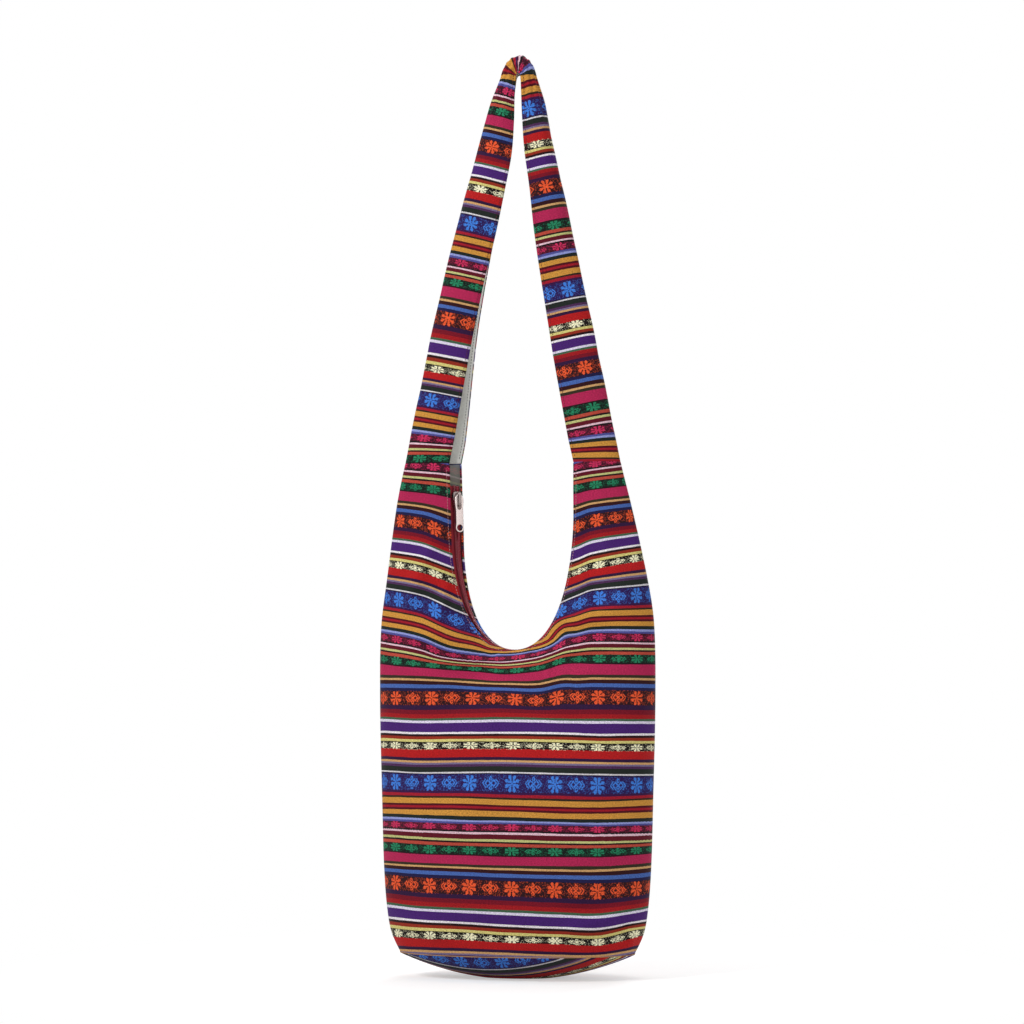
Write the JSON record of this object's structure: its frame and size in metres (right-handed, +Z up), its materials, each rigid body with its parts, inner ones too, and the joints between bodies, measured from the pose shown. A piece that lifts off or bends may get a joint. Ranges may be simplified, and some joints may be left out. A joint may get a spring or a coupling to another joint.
{
  "type": "woven sling bag",
  "caption": "Soft cloth sling bag with striped woven panels, an oval base, a zip round a deep U-shaped mouth and a folded strap held up as a loop.",
  "frame": {"origin": "under the middle of the base, on the ground", "axes": "+Z up along the hanging bag, -Y towards the front, +X to the right seen from the front"},
  "size_m": [0.3024, 0.1324, 1.0026],
  "materials": {
    "striped_cloth": "jacquard-woven cotton in bright stripes with rows of small flowers",
    "lining_cotton": "plain grey cotton",
    "zip_tape": "maroon woven tape",
    "zip_coil": "maroon nylon coil",
    "zip_metal": "bright nickel plate"
  },
  "bodies": {
    "bag": {"front_panel": "striped_cloth", "back_panel": "striped_cloth", "base_panel": "striped_cloth", "strap_face": "striped_cloth", "strap_lining": "lining_cotton", "zip_tape_front": "zip_tape", "zip_tape_back": "zip_tape", "zip_coil_front": "zip_coil", "zip_coil_back": "zip_coil"},
    "slider": {"zip_slider": "zip_metal"},
    "pull": {"zip_pull": "zip_metal"}
  },
  "joints": [
    {"name": "slider_slide", "type": "slide", "parent": "bag", "child": "slider", "axis": [0.0299, 0, -0.9996], "range_m": [0, 0.04]},
    {"name": "pull_hinge", "type": "hinge", "parent": "slider", "child": "pull", "pos_m": [-0.06371, -0.00365, 0.52203], "axis": [-0.7938, -0.6077, -0.0237], "range_deg": [0, 150]}
  ]
}
